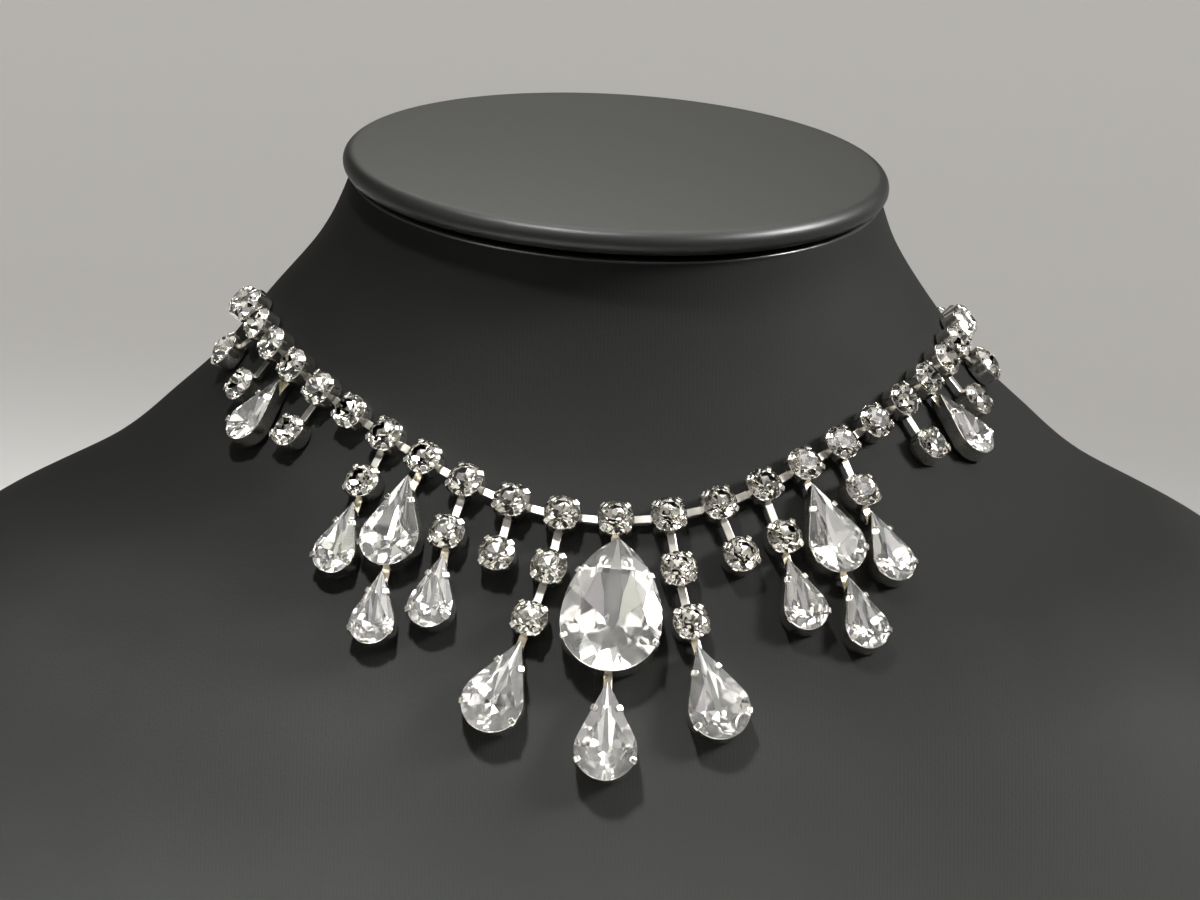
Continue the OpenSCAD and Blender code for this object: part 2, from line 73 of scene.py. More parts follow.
CAP_Y = -6

# Kinds of cut stone, and their settings, in millimetres. Headings are in degrees from the right:
# side is where a pear's bulb passes into its side, mains are those of the main facets.
ROUND_SIDE = 90
Kind = namedtuple("Kind", "name width length girdle_h crown pavilion side mains table_share")
KINDS = [
    Kind("round", 7.0, 7.0, 3.3, 1.3, 2.5, ROUND_SIDE, (-90, -45, 0, 45), 0.58),
    Kind("small_pear", 8.8, 15.2, 3.4, 1.4, 2.55, 23.5, (-90, -50, -12), 0.58),
    Kind("large_pear", 11.8, 18.9, 3.8, 1.7, 2.95, 26.5, (-90, -52, -14), 0.58),
    Kind("big_pear", 19.2, 26.4, 4.8, 2.4, 3.95, 0, (-90, -54, -20, 8, 32), 0.62),
]
RIM_T = 0.28
STONE_GAP = 0.14
EDGE_INSET = 0.05
LEDGE_T = 0.75
LEDGE_DROP = 1.0
FLOOR_T = 0.5
LINK_W = 1.6
LINK_T = 0.3
TAB_H = 0.95
SLOT_GAP = 0.15
CLAW_W = 1.25
CLAW_T = 0.44
CLAW_REACH = 0.9
ROUND_CLAWS = 4

# Edges sharper than these angles stay sharp, on the bust and on the metal
SKIN_CREASE = math.radians(60)
METAL_CREASE = math.radians(20)


def link_object(name, data):
    """A new object for the mesh, camera or light, in the scene."""
    made = bpy.data.objects.new(name, data)
    bpy.context.scene.collection.objects.link(made)
    return made


def mesh_piece(name, bm, materials, sharp_angle=None):
    """A piece that rides on the body, from a bmesh in millimetres."""
    bm.transform(Matrix.Scale(MM, 4))
    bmesh.ops.recalc_face_normals(bm, faces=bm.faces)
    if sharp_angle:
        for face in bm.faces:
            face.smooth = True
        for edge in bm.edges:
            edge.smooth = len(edge.link_faces) == 2 and edge.calc_face_angle() < sharp_angle
    mesh = bpy.data.meshes.new(name)
    bm.to_mesh(mesh)
    bm.free()
    for material in materials:
        mesh.materials.append(material)
    piece = link_object(name, mesh)
    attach(piece, "root")
    return piece


def skin_over(bm, rings, place=Matrix()):
    """Faces over closed rings of points, with both ends filled; each ring has as many points."""
    rows = [[bm.verts.new(place @ Vector(p)) for p in ring] for ring in rings]
    count = len(rows[0])
    for upper, lower in zip(rows, rows[1:]):
        for i in range(count):
            j = (i + 1) % count
            bm.faces.new((upper[i], upper[j], lower[j], lower[i]))
    bm.faces.new(rows[0][::-1])
    bm.faces.new(rows[-1])


# Materials
def set_inputs(node, values):
    """A node's inputs set by name, with _ for each space."""
    for key, value in values.items():
        node.inputs[key.replace("_", " ")].default_value = value


def new_material(name, **sockets):
    """A material with a Principled shader, its sockets set by name."""
    material = bpy.data.materials.new(name)
    material.use_nodes = True
    set_inputs(material.node_tree.nodes["Principled BSDF"], sockets)
    return material


def add_node(material, kind, **values):
    """A node of that kind, its inputs set by name."""
    node = material.node_tree.nodes.new(kind)
    set_inputs(node, values)
    return node


def join(material, output, target):
    """A link from an output to an input."""
    material.node_tree.links.new(output, target)


def shader_of(material):
    """The material's Principled shader."""
    return material.node_tree.nodes["Principled BSDF"]


def math_node(material, operation, *values):
    """The result of a sum of outputs and numbers."""
    node = add_node(material, "ShaderNodeMath")
    node.operation = operation
    for socket, value in zip(node.inputs, values):
        if isinstance(value, (int, float)):
            socket.default_value = value
        else:
            join(material, value, socket)
    return node.outputs[0]


def bump_from(material, height, strength, distance):
    """Bump made from a height output."""
    bump = add_node(material, "ShaderNodeBump", Strength=strength, Distance=distance)
    join(material, height, bump.inputs["Height"])
    join(material, bump.outputs["Normal"], shader_of(material).inputs["Normal"])


def noise(material, place, scale, detail=2.0, roughness=0.5):
    """Noise from 0 to 1 at a place."""
    node = add_node(material, "ShaderNodeTexNoise", Scale=scale, Detail=detail, Roughness=roughness)
    join(material, place, node.inputs["Vector"])
    return node.outputs["Fac"]


def spread(material, value, low, high, socket):
    """A value from 0 to 1 brought to a range, into a socket of the shader."""
    node = add_node(material, "ShaderNodeMapRange", To_Min=low, To_Max=high)
    join(material, value, node.inputs["Value"])
    join(material, node.outputs["Result"], shader_of(material).inputs[socket])


def tint(material, value, dark, light):
    """The base colour, between two colours by a value from 0 to 1."""
    node = add_node(material, "ShaderNodeMix")
    node.data_type = "RGBA"
    node.inputs["A"].default_value = (*dark, 1)
    node.inputs["B"].default_value = (*light, 1)
    join(material, value, node.inputs["Factor"])
    join(material, node.outputs["Result"], shader_of(material).inputs["Base Color"])


RIB_STEP = 0.75 * MM
SKIN_HUE = (0.98, 1, 0.94)
CLOUD_SCALE = 14.0
CLOUD_SHARE = 0.35
GRAIN_SCALE = 1700.0
GRAIN_STRENGTH = 0.35
WEAR_SCALE = 900.0
WEAR_STRENGTH = 0.12
WEAR_ROUGHNESS = (-0.05, 0.08)
STAIN_SCALE = 260.0
STAIN_SHARE = 0.86
RELIEF_H = 0.08 * MM


def ribs(material, place):
    """Height of fine ribs that run down the bust, laid from the front and from the side."""
    axes = add_node(material, "ShaderNodeSeparateXYZ")
    join(material, place, axes.inputs["Vector"])
    facing = add_node(material, "ShaderNodeSeparateXYZ")
    surface = add_node(material, "ShaderNodeNewGeometry")
    join(material, surface.outputs["Normal"], facing.inputs["Vector"])
    total = None
    for axis, other in (("X", "Y"), ("Y", "X")):
        turn = math_node(material, "MULTIPLY", axes.outputs[axis], 2 * math.pi / RIB_STEP)
        wave = math_node(material, "SINE", turn)
        share = math_node(material, "POWER", math_node(material, "ABSOLUTE", facing.outputs[other]), 2.0)
        height = math_node(material, "MULTIPLY", wave, share)
        total = height if total is None else math_node(material, "ADD", total, height)
    return total


def leatherette(name, heights, tones, roughnesses, gloss, rib_share):
    """Embossed leatherette: rows of fine ribs and a pebble grain; its tone and roughness change
    slowly from the first height to the second."""
    material = new_material(name, Specular_IOR_Level=gloss)
    place = add_node(material, "ShaderNodeTexCoord").outputs["Object"]
    axes = add_node(material, "ShaderNodeSeparateXYZ")
    join(material, place, axes.inputs["Vector"])
    # The tone's change with height: on the bust's skin it darkens up the neck as painted shade.
    fade = add_node(material, "ShaderNodeMapRange", From_Min=heights[0], From_Max=heights[1])
    join(material, axes.outputs["Z"], fade.inputs["Value"])
    cloud = noise(material, place, CLOUD_SCALE, detail=3.0, roughness=0.55)
    shift = math_node(material, "MULTIPLY", math_node(material, "SUBTRACT", cloud, 0.5), CLOUD_SHARE)
    tone = math_node(material, "ADD", fade.outputs["Result"], shift)
    tint(material, tone, *[[v * share for share in SKIN_HUE] for v in tones])
    spread(material, tone, *roughnesses, "Roughness")
    grain = noise(material, place, GRAIN_SCALE)
    ribbed = math_node(material, "MULTIPLY", ribs(material, place), rib_share)
    bump_from(material, math_node(material, "ADD", grain, ribbed), GRAIN_STRENGTH, RELIEF_H)
    return material


def plated(name, colour, roughness):
    """Bright plate with fine wear."""
    material = new_material(name, Metallic=1.0)
    place = add_node(material, "ShaderNodeTexCoord").outputs["Object"]
    wear = noise(material, place, WEAR_SCALE, detail=4.0)
    spread(material, wear, *[roughness + change for change in WEAR_ROUGHNESS], "Roughness")
    stain = noise(material, place, STAIN_SCALE, detail=3.0)
    tint(material, stain, [c * STAIN_SHARE for c in colour], colour)
    bump_from(material, wear, WEAR_STRENGTH, RELIEF_H)
    return material


# The bust's skin is painted darker from the chest up the neck to its cut top: painted shade. Its
# roughness rises the same way.
SKIN = leatherette("black_leatherette", heights=(0.115, 0.02), tones=(0.004, 0.026),
                   roughnesses=(0.78, 0.50), gloss=0.072, rib_share=0.22)
CAP_SKIN = leatherette("cap_leatherette", heights=(0.176, 0.186), tones=(0.006, 0.008),
                       roughnesses=(0.38, 0.46), gloss=0.19, rib_share=0.08)
EDGE_SKIN = leatherette("rubbed_edge", heights=(0.17, 0.19), tones=(0.010, 0.014),
                        roughnesses=(0.24, 0.28), gloss=0.5, rib_share=0.0)
METAL = plated("rhodium", (0.84, 0.82, 0.76), roughness=0.17)
# The links' plate is rougher than the cups' and painted far darker than it: painted shade.
LINK_METAL = plated("dull_and_shaded_plate", (0.26, 0.25, 0.225), roughness=0.34)
WARM_METAL = plated("worn_plate", (0.60, 0.54, 0.41), roughness=0.27)
CRYSTAL = new_material("crystal", Transmission_Weight=1.0, Roughness=0.0, IOR=1.57,
                       Base_Color=(0.99, 0.99, 0.99, 1))
FOIL = new_material("foil", Metallic=1.0, Roughness=0.02, Base_Color=(0.70, 0.69, 0.64, 1))
PEAR_FOIL = new_material("pear_foil", Metallic=0.92, Roughness=0.06, Base_Color=(0.98, 0.975, 0.95, 1))


# The bust
def spline(a, b, c, d, w):
    """The value a share w of the way from b to c, on a smooth curve through a, b, c and d."""
    return 0.5 * (2 * b + (c - a) * w + (2 * a - 5 * b + 4 * c - d) * w * w
                  + (3 * b - a - 3 * c + d) * w ** 3)


def section(u):
    """The section a place u down the table, between its rows."""
    i = min(int(u), LAST_SECTION - 1)
    rows = [SECTIONS[max(0, min(LAST_SECTION, i + k))] for k in (-1, 0, 1, 2)]
    return [spline(*(row[column] for row in rows), u - i) for column in range(5)]


SAMPLES = 4
FRONT_MOST = max(section(u / SAMPLES)[FRONT_REACH] for u in range(SAMPLES * LAST_SECTION + 1))
NECK_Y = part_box("bust_body")[0].y / MM + FRONT_MOST


def skin(t, u):
    """A point on the bust's skin, in millimetres: t is the angle round the neck from the front."""
    row = section(u)
    reach = row[FRONT_REACH] if math.cos(t) > 0 else row[BACK_REACH]
    across = row[HALF_WIDTH] * math.sin(t) + row[SHIFT]
    return Vector((across, NECK_Y - reach * math.cos(t), row[HEIGHT]))


CAP_PLACE = (Matrix.Translation((CAP_X, NECK_Y + CAP_Y, NECK_TOP_H))
             @ Matrix.Rotation(CAP_SIDE_LEAN, 4, "Y") @ Matrix.Rotation(CAP_LEAN, 4, "X"))
CAP_UP = CAP_PLACE.to_3x3() @ Vector((0, 0, 1))

# The neck's cut top lies among this many of the upper sections
NECK_SECTIONS = 3.0
HALVINGS = 30


def neck_top_u(t):
    """The place down the sections where the neck's cut top meets the skin."""
    low, high = 0.0, NECK_SECTIONS
    for _ in range(HALVINGS):
        middle = (low + high) / 2
        if (skin(t, middle) - CAP_PLACE.translation).dot(CAP_UP) > 0:
            low = middle
        else:
            high = middle
    return low


BODY_COLUMNS = 160
BODY_RINGS = 110
TOP_EDGE_R = 0.7
BASE_EDGE_R = 2.0
EDGE_STEPS = 5
SEAM_DEPTH = 0.35
SEAM_HALF = math.radians(0.55)
SEAM_OFFSETS = [math.radians(a) for a in (0.3, 0.6, 0.9, 1.4)]
SMALL_STEP = 0.01


def rounded(corner, before, after, w):
    """A point on the curve that rounds a corner."""
    return before * (1 - w) ** 2 + corner * 2 * w * (1 - w) + after * w ** 2


def body_column(t):
    """Points from the neck's cut top down to the floor, at one angle."""
    top_u = neck_top_u(t)
    top, base = skin(t, top_u), skin(t, LAST_SECTION)
    below = skin(t, top_u + SMALL_STEP) - top
    inward = Vector((-math.sin(t), math.cos(t), 0))
    inward_top = (inward - CAP_UP * inward.dot(CAP_UP)).normalized()
    start_u = top_u + SMALL_STEP * TOP_EDGE_R / below.length
    above = skin(t, LAST_SECTION - SMALL_STEP) - base
    end_u = LAST_SECTION - SMALL_STEP * BASE_EDGE_R / above.length
    steps = [i / EDGE_STEPS for i in range(EDGE_STEPS)]
    seam = SEAM_DEPTH * math.exp(-((math.pi - abs(t)) / SEAM_HALF) ** 2)
    column = [rounded(top, top + inward_top * TOP_EDGE_R, skin(t, start_u), w) for w in steps]
    column += [skin(t, start_u + (end_u - start_u) * i / BODY_RINGS) for i in range(BODY_RINGS + 1)]
    column += [rounded(base, skin(t, end_u), base + inward * BASE_EDGE_R, 1 - w)
               for w in reversed(steps)]
    return [p + inward * seam for p in column]


def make_body():
    """The bust: its skin, the rounded and rubbed edge of the neck's top, and the seam at the back."""
    step = 2 * math.pi / BODY_COLUMNS
    angles = [-math.pi + step * (i + 0.5) for i in range(BODY_COLUMNS)]
    near = [-math.pi] + [-math.pi + a for a in SEAM_OFFSETS] + [math.pi - a for a in SEAM_OFFSETS]
    columns = [body_column(t) for t in sorted(near + angles[1:-1])]
    rings = list(zip(*columns))
    edge_low = min(p.dot(CAP_UP) for p in rings[EDGE_STEPS])
    bm = bmesh.new()
    skin_over(bm, rings)
    for face in bm.faces:
        if len(face.verts) == 4 and face.calc_center_median().dot(CAP_UP) > edge_low:
            face.material_index = 1
    body = mesh_piece("leather_body", bm, [SKIN, EDGE_SKIN], SKIN_CREASE)
    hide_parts("bust_body")


CAP_COLUMNS = 144
CAP_TOP_RINGS = 20
CAP_RIM_STEPS = 22
CAP_CROWN_H = 1.4
CAP_BOSS_H = 1.1
CAP_GAP = 0.1
CAP_BOSS_SHARE = 0.8
CAP_BOSS_FLARE = 0.02
CAP_TUCK = 0.2
PUCKER_DEPTH = 0.11
PUCKER_LEVEL = 0.12
PUCKER_REACH = 0.3
# The puckers' waves: number round the cap, share of the depth, and turn
PUCKER_WAVES = ((61, 1.0, 0.0), (37, 0.6, 1.3), (83, 0.5, 0.4))


def pucker(a, height):
    """How far the cover draws in round the cap's lower edge, where it is turned under."""
    low = max(0.0, 1 - abs(height / CAP_T - PUCKER_LEVEL) / PUCKER_REACH)
    folds = sum(share * math.sin(number * a + turn) for number, share, turn in PUCKER_WAVES)
    return PUCKER_DEPTH * low ** 2 * folds


def cap_ring(share, growth, height):
    """A ring of the cap: a share of its flat top, grown outward, at a height over its underside."""
    ring = []
    for i in range(CAP_COLUMNS):
        a = 2 * math.pi * i / CAP_COLUMNS
        grown = growth - (pucker(a, height) + CAP_TUCK if growth > 0 else 0)
        x = ((CAP_W - CAP_T) * share + grown) / 2 * math.cos(a)
        y = ((CAP_D - CAP_T) * share + grown) / 2 * math.sin(a)
        ring.append((x, y, height))
    return ring


def make_cap():
    """The padded cap: a domed top, a round rim, and a low boss under it."""
    rings = []
    for i in range(1, CAP_TOP_RINGS):
        share = i / CAP_TOP_RINGS
        rings.append(cap_ring(share, 0, CAP_T + CAP_CROWN_H * (1 - share ** 2)))
    for i in range(CAP_RIM_STEPS + 1):
        a = math.pi / 2 - math.pi * i / CAP_RIM_STEPS
        rings.append(cap_ring(1, CAP_T * math.cos(a), CAP_T / 2 * (1 + math.sin(a))))
    rings.append(cap_ring(CAP_BOSS_SHARE + CAP_BOSS_FLARE, 0, 0))
    rings.append(cap_ring(CAP_BOSS_SHARE, 0, -CAP_GAP))
    rings.append(cap_ring(CAP_BOSS_SHARE, 0, -CAP_BOSS_H))
    bm = bmesh.new()
    skin_over(bm, rings, CAP_PLACE @ Matrix.Translation((0, 0, CAP_BOSS_H + CAP_GAP)))
    cap = mesh_piece("cap_pad", bm, [CAP_SKIN], SKIN_CREASE)
    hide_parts("bust_cap")


# Where the pieces are, read from the frame
WELD = 0.001
SAME_WAY = 0.99995
SAME_LEVEL = 0.05
# The ranks of a stone's girdle among its points by height
GIRDLE_RANKS = slice(9, 25)
# The points of a link, and those of its underside
LINK_VERTS = 16
LINK_CORNERS = 4


def loose_parts(bm):
    """The groups of vertices of a mesh that hang together."""
    seen = set()
    parts = []
    for first in bm.verts:
        if first in seen:
            continue
        seen.add(first)
        part, front = [], [first]
        while front:
            vert = front.pop()
            part.append(vert)
            for edge in vert.link_edges:
                other = edge.other_vert(vert)
                if other not in seen:
                    seen.add(other)
                    front.append(other)
        parts.append(part)
    return parts


def node_parts(node):
    """The loose parts of a node: for each its points in millimetres and its directions."""
    bm = bmesh.new()
    bm.from_mesh(NODES[node].data)
    bm.transform(Matrix.Scale(1 / MM, 4))
    bmesh.ops.remove_doubles(bm, verts=bm.verts, dist=WELD)
    bm.normal_update()
    parts = [([vert.co.copy() for vert in part], flat_direction(part)) for part in loose_parts(bm)]
    bm.free()
    return parts


def flat_direction(part):
    """The direction in which most of a part's flat area looks."""
    areas = []
    for face in sorted({face for vert in part for face in vert.link_faces}, key=lambda f: f.index):
        for entry in areas:
            if entry[1].dot(face.normal) > SAME_WAY:
                entry[0] += face.calc_area()
                break
        else:
            areas.append([face.calc_area(), face.normal.copy()])
    return max(areas, key=lambda entry: entry[0])[1]


def axes_matrix(x, z, origin):
    """A frame with its Z axis along z and its X axis near x."""
    z = z.normalized()
    x = (x - z * x.dot(z)).normalized()
    return Matrix.Translation(origin) @ Matrix((x, z.cross(x), z)).transposed().to_4x4()


def stone_place(points, table):
    """The kind of a stone and its setting's frame: Y to the tip, Z outward."""
    points = sorted(points, key=lambda p: p.dot(table))
    culet = points[0]
    girdle = points[GIRDLE_RANKS]
    level = sum((p - culet).dot(table) for p in girdle) / len(girdle)
    middle = culet + table * level
    reach = min((p - middle).length for p in girdle) + RIM_T + STONE_GAP
    kind = min(KINDS, key=lambda k: abs(k.width / 2 - reach))
    tip = max(girdle, key=lambda p: (p - middle).length) - middle
    return kind, axes_matrix(tip.cross(table), table, middle - table * kind.girdle_h)


def lowest(points, up):
    """The points at the lowest level along a direction."""
    level = min(p.dot(up) for p in points)
    return [p for p in points if p.dot(up) < level + SAME_LEVEL]


def link_place(points, up):
    """A link's frame, at the middle of its underside with its tabs up, and its length."""
    if len(lowest(points, up)) > LINK_CORNERS:
        up = -up
    corners = lowest(points, up)
    side = min((p - corners[0] for p in corners[1:]), key=lambda d: d.length).normalized()
    along = max((a - b for a in corners for b in corners), key=lambda d: d.length)
    along = along - side * along.dot(side)
    middle = sum(corners, Vector()) / len(corners)
    return axes_matrix(along, up, middle), along.length


def claw_turn(points, place):
    """How far a round cup's claws are turned in its stone's frame."""
    sine = cosine = 0
    back = place.inverted()
    for point in points:
        p = back @ point
        if math.hypot(p.x, p.y) > KINDS[0].width / 2 + CLAW_T / 2:
            a = ROUND_CLAWS * math.atan2(p.y, p.x)
            sine += math.sin(a)
            cosine += math.cos(a)
    return math.atan2(sine, cosine) / ROUND_CLAWS


STONE_NODES = [name for name in NODES if "stone" in name]
METAL_NODES = [name for name in NODES if "setting" in name or name == "centre_links"]


# Outlines of the stones and their settings
def heading(g):
    """The direction in the plane at a heading of g degrees."""
    return Vector((math.cos(math.radians(g)), math.sin(math.radians(g))))


def side_arc(kind):
    """Centre and radius of the arc from a pear's bulb to its tip, on the right."""
    r, tip = kind.width / 2, kind.length - kind.width / 2
    lift = tip * math.sin(math.radians(kind.side))
    radius = (tip * tip + r * r - 2 * r * lift) / (2 * r - 2 * lift)
    return -(radius - r) * heading(kind.side), radius


def outline_point(kind, g, inset):
    """The point on the right half of an outline whose outward direction is g."""
    if kind.side == ROUND_SIDE or g <= kind.side:
        return (kind.width / 2 - inset) * heading(g)
    centre, radius = side_arc(kind)
    return centre + (radius - inset) * heading(g)


def tip_heading(kind, inset):
    """The outward direction of the side where it reaches the tip."""
    if kind.side == ROUND_SIDE:
        return ROUND_SIDE
    centre, radius = side_arc(kind)
    return math.degrees(math.acos(-centre.x / (radius - inset)))


def outline(kind, inset, bulb_steps=24, side_steps=12):
    """An outline's points, counterclockwise from the bottom."""
    if kind.side == ROUND_SIDE:
        turns = [-90 + 180 * i / bulb_steps for i in range(bulb_steps + 1)]
    else:
        first, last = kind.side, tip_heading(kind, inset)
        turns = [-90 + (first + 90) * i / bulb_steps for i in range(bulb_steps)]
        turns += [first + (last - first) * i / side_steps for i in range(side_steps + 1)]
    right = [outline_point(kind, g, inset) for g in turns]
    return right + [Vector((-p.x, p.y)) for p in right[-2:0:-1]]


# Cut stones
BAND_H = 0.06
STAR_SLOPE = 0.55
GIRDLE_STEEPER = 1.28
LOWER_DEEPER = 1.05
TIP_SLOPE = 0.88
KEEL_SHARE = 0.9
TIP_FACET_GAP = 1.5
BETWEEN_MAINS = (0.25, 0.75)
SPARE_DEPTH = 1
CUT_TOLERANCE = 0.002
STONE_WELD = 0.004
STONE_STEPS = (20, 10)
FOIL_TILT = -0.1


def crown_slope(kind):
    """How steeply a crown rises inward from its girdle."""
    return kind.crown / ((1 - kind.table_share) * (kind.width / 2 - EDGE_INSET))


def facet_planes(kind):
    """Point and outward normal of each facet of a stone that is centred on its girdle."""
    inset = EDGE_INSET
    steep = crown_slope(kind)
    planes = []

    def tangent(g, mirror, slope, base):
        """A plane through the girdle at heading g, rising (or falling) inward at a slope."""
        p, n = outline_point(kind, g, inset), heading(g)
        planes.append((Vector((mirror * p.x, p.y, base)),
                       Vector((mirror * n.x * abs(slope), n.y * abs(slope), math.copysign(1, slope)))))

    def fall(g):
        """The slope from the girdle at heading g down to the culet."""
        return kind.pavilion / outline_point(kind, g, inset).dot(heading(g))

    tip_g = tip_heading(kind, inset)
    mains = list(kind.mains) + [max(tip_g - TIP_FACET_GAP, (kind.side + tip_g) / 2)]
    table_inset = (kind.crown - BAND_H) / steep
    corners = [outline_point(kind, g, inset) - heading(g) * table_inset for g in mains]
    for mirror in (1, -1):
        for i, g in enumerate(mains):
            tangent(g, mirror, steep, BAND_H)
            tangent(g, mirror, -fall(g), -BAND_H)
            if i + 1 == len(mains):
                continue
            for w in BETWEEN_MAINS:
                between = g + (mains[i + 1] - g) * w
                tangent(between, mirror, steep * GIRDLE_STEEPER, BAND_H)
                tangent(between, mirror, -fall(between) * LOWER_DEEPER, -BAND_H)
            edge = corners[i + 1] - corners[i]
            plan = Vector((edge.y, -edge.x)).normalized() * steep * STAR_SLOPE
            planes.append((Vector((mirror * corners[i].x, corners[i].y, kind.crown)),
                           Vector((mirror * plan.x, plan.y, 1))))
    if kind.side < ROUND_SIDE:
        rise = steep * math.cos(math.radians(tip_g)) * TIP_SLOPE
        tip = outline_point(kind, tip_g, inset)
        planes.append((Vector((0, tip.y, BAND_H)), Vector((0, rise, 1))))
        planes.append((Vector((0, tip.y, -BAND_H)), Vector((0, kind.pavilion * KEEL_SHARE / tip.y, -1))))
    return planes


def cut_stone(kind):
    """A stone centred on its girdle: a prism with its facets cut one by one, foiled at the back."""
    bm = bmesh.new()
    points = outline(kind, EDGE_INSET, *STONE_STEPS)
    top, bottom = kind.crown, -kind.pavilion - SPARE_DEPTH
    skin_over(bm, [[(p.x, p.y, h) for p in points] for h in (top, bottom)])
    for point, normal in facet_planes(kind):
        cut = bmesh.ops.bisect_plane(
            bm, geom=bm.verts[:] + bm.edges[:] + bm.faces[:], dist=CUT_TOLERANCE,
            plane_co=point, plane_no=normal.normalized(), clear_outer=True)
        edges = [e for e in cut["geom_cut"]
                 if isinstance(e, bmesh.types.BMEdge) and len(e.link_faces) < 2]
        if len(edges) > 2:
            bmesh.ops.contextual_create(bm, geom=edges)
    bmesh.ops.remove_doubles(bm, verts=bm.verts, dist=STONE_WELD)
    bmesh.ops.recalc_face_normals(bm, faces=bm.faces)
    bm.verts.index_update()
    for facet in bm.faces:
        facet.material_index = 1 if facet.normal.z < FOIL_TILT else 0
    return bm


def add_copy(bm, template, place):
    """A copy of the template's vertices and faces, moved to its place."""
    verts = [bm.verts.new(place @ vert.co) for vert in template.verts]
    for face in template.faces:
        made = bm.faces.new([verts[vert.index] for vert in face.verts])
        made.material_index = face.material_index


def dress_stones(node, places):
    """The stones of a node: glass crowns over foiled pavilions."""
    bm = bmesh.new()
    for kind, place in places:
        add_copy(bm, TEMPLATES[kind.name], place @ Matrix.Translation((0, 0, kind.girdle_h)))
    foil = FOIL if places[0][0].side == ROUND_SIDE else PEAR_FOIL
    piece = mesh_piece("dressed_" + node, bm, [CRYSTAL, foil])
    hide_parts(node)


# Settings
BAR_CORNER = 0.42
# A claw's path: (outward, height over the back) at its foot, (outward, height over
# the girdle) up its stem, and the distances inward of its lap over the stone
CLAW_FOOT = (0.10, 0.9)
CLAW_STEM = ((0.17, -0.8), (0.23, -0.1), (0.21, 0.16), (0.04, 0.37))
CLAW_LAP = (0.3, 0.6, CLAW_REACH)
CLAW_LIFT = 0.66
CLAW_TAPER = 0.10
# Shares of the width and the thickness that are left at the nose, from its end back
CLAW_NOSE = ((0.35, 0.5), (0.72, 0.8), (0.93, 0.95))
CLAW_ROOT = (0.45, 0.85)
# A pear's lower claws by their heading, its upper ones by their share of the way up the side
LOWER_CLAW = -22
UPPER_CLAW = 0.5
# A wall's profile as (inset, height) points: over its back, over the girdle, and the ledge's corner
WALL_BACK = ((0.30, 0), (0.09, 0.03), (0.0, 0.14))
WALL_RIM = ((0.0, -0.20), (0.03, -0.15), (0.09, -0.15), (RIM_T, -0.32))
LEDGE_CORNER = (0.03, 0.02)
LINK_BEND_R = 0.32
LINK_BEND_STEPS = 4


def bar_section(width, thickness, r):
    """A rounded bar's cross-section, as (across, up) points."""
    points = []
    for quarter in range(4):
        sign_x = 1 if quarter in (0, 3) else -1
        sign_y = 1 if quarter < 2 else -1
        for step in range(3):
            a = math.pi / 2 * (quarter + step / 2)
            points.append((sign_x * (width / 2 - r) + r * math.cos(a),
                           sign_y * (thickness / 2 - r) + r * math.sin(a)))
    return points


def strip(bm, place, path, widths, thicknesses):
    """A flat bar swept along a path of (x, z) points."""
    rings = []
    for i, (x, z) in enumerate(path):
        ahead = path[min(i + 1, len(path) - 1)]
        behind = path[max(i - 1, 0)]
        along = Vector((ahead[0] - behind[0], ahead[1] - behind[1])).normalized()
        r = BAR_CORNER * min(widths[i], thicknesses[i])
        rings.append([(x - along.y * up, across, z + along.x * up)
                      for across, up in bar_section(widths[i], thicknesses[i], r)])
    skin_over(bm, rings, place)


def smooth_path(points, steps=3):
    """A finer path through the points."""
    ends = [points[0]] + list(points) + [points[-1]]
    fine = []
    for a, b, c, d in zip(ends, ends[1:], ends[2:], ends[3:]):
        for i in range(steps):
            w = i / steps
            fine.append((spline(a[0], b[0], c[0], d[0], w), spline(a[1], b[1], c[1], d[1], w)))
    return fine + [points[-1]]


def claw(bm, place, kind):
    """A claw up the outside of a wall and over the stone; X points outward from the wall."""
    g, slope = kind.girdle_h, crown_slope(kind)
    stem = [(x, g + height) for x, height in CLAW_STEM]
    lap = [(-x, g + BAND_H + CLAW_T * CLAW_LIFT + (x - EDGE_INSET) * slope) for x in CLAW_LAP]
    path = smooth_path([CLAW_FOOT] + stem + lap)
    last = len(path) - 1
    widths = [CLAW_W * (1 - CLAW_TAPER * i / last) for i in range(last + 1)]
    thicknesses = [CLAW_T] * (last + 1)
    for back, (w, t) in enumerate(CLAW_NOSE):
        widths[last - back] *= w
        thicknesses[last - back] *= t
    for i, w in enumerate(CLAW_ROOT):
        widths[i] *= w
        thicknesses[i] *= w
    strip(bm, place, path, widths, thicknesses)


def wall_profile(kind):
    """A setting's wall as (inset, height) points, from the middle of its back round to its floor."""
    girdle = kind.girdle_h
    ledge = girdle - LEDGE_DROP
    rim = [(inset, girdle + height) for inset, height in WALL_RIM]
    return [
        *WALL_BACK, (0.0, girdle / 2), *rim, (RIM_T, ledge + LEDGE_CORNER[1]),
        (RIM_T + LEDGE_CORNER[0], ledge), (LEDGE_T, ledge), (LEDGE_T, FLOOR_T),
    ]


def claw_places(kind):
    """Where a setting's claws stand: frames with X outward from the wall."""
    places = []
    if kind.side == ROUND_SIDE:
        for k in range(ROUND_CLAWS):
            turn = Matrix.Rotation(2 * math.pi / ROUND_CLAWS * k, 4, "Z")
            places.append(turn @ Matrix.Translation((kind.width / 2, 0, 0)))
        return places
    upper = kind.side + (tip_heading(kind, 0) - kind.side) * UPPER_CLAW
    for g in (LOWER_CLAW, upper):
        p = outline_point(kind, g, 0)
        for mirror in (1, -1):
            angle = math.radians(g if mirror > 0 else 180 - g)
            places.append(Matrix.Translation((mirror * p.x, p.y, 0)) @ Matrix.Rotation(angle, 4, "Z"))
    return places


def box(bm, place, low, high):
    """A box between two corners."""
    sides = [(low[1], low[2]), (high[1], low[2]), (high[1], high[2]), (low[1], high[2])]
    skin_over(bm, [[(x, y, z) for y, z in sides] for x in (low[0], high[0])], place)


